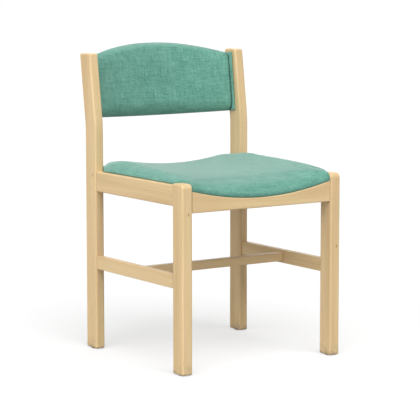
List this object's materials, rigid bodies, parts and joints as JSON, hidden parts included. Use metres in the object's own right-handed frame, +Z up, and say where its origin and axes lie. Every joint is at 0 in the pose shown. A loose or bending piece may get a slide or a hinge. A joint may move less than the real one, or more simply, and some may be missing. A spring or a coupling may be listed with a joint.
{
  "type": "upholstered side chair",
  "caption": "Armless upright beech side chair with a dished upholstered seat, a curved upholstered back and an H-shaped stretcher frame, for wards and waiting rooms.",
  "frame": {"origin": "on the floor, under the middle of the chair's box", "axes": "+Z up, -Y to the front, +X to the sitter's left"},
  "size_m": [0.484, 0.529, 0.7963],
  "materials": {
    "lacquered_beech": "clear satin lacquer",
    "plain_beech": "planed, without lacquer",
    "dowel_beech": "plain",
    "plywood": "sanded",
    "teal_cloth": "close woven, matt",
    "foam": "open cell foam",
    "dust_cloth": "felted, matt",
    "zinc_steel": "zinc plated",
    "glide_plastic": "matt"
  },
  "bodies": {
    "root": {"back_cleat_dowels": "dowel_beech", "back_foam": "foam", "back_front_cover": "teal_cloth", "back_panel": "plywood", "back_rear_cover": "teal_cloth", "corner_block_screws": "zinc_steel", "cross_stretcher": "lacquered_beech", "cross_stretcher_dowels": "dowel_beech", "front_rail_dowels": "dowel_beech", "front_seat_rail": "lacquered_beech", "left_back_cleat": "plain_beech", "left_back_strip": "teal_cloth", "left_front_block": "plain_beech", "left_front_glide": "glide_plastic", "left_front_leg": "lacquered_beech", "left_rear_block": "plain_beech", "left_rear_glide": "glide_plastic", "left_rear_post": "lacquered_beech", "left_side_rail": "lacquered_beech", "left_side_stretcher": "lacquered_beech", "rear_rail_dowels": "dowel_beech", "rear_seat_rail": "lacquered_beech", "right_back_cleat": "plain_beech", "right_back_strip": "teal_cloth", "right_front_block": "plain_beech", "right_front_glide": "glide_plastic", "right_front_leg": "lacquered_beech", "right_rear_block": "plain_beech", "right_rear_glide": "glide_plastic", "right_rear_post": "lacquered_beech", "right_side_rail": "lacquered_beech", "right_side_stretcher": "lacquered_beech", "seat_board": "plywood", "seat_cover": "teal_cloth", "seat_dust_cover": "dust_cloth", "seat_foam": "foam", "seat_screws": "zinc_steel", "side_rail_dowels": "dowel_beech", "side_stretcher_dowels": "dowel_beech"}
  },
  "joints": []
}
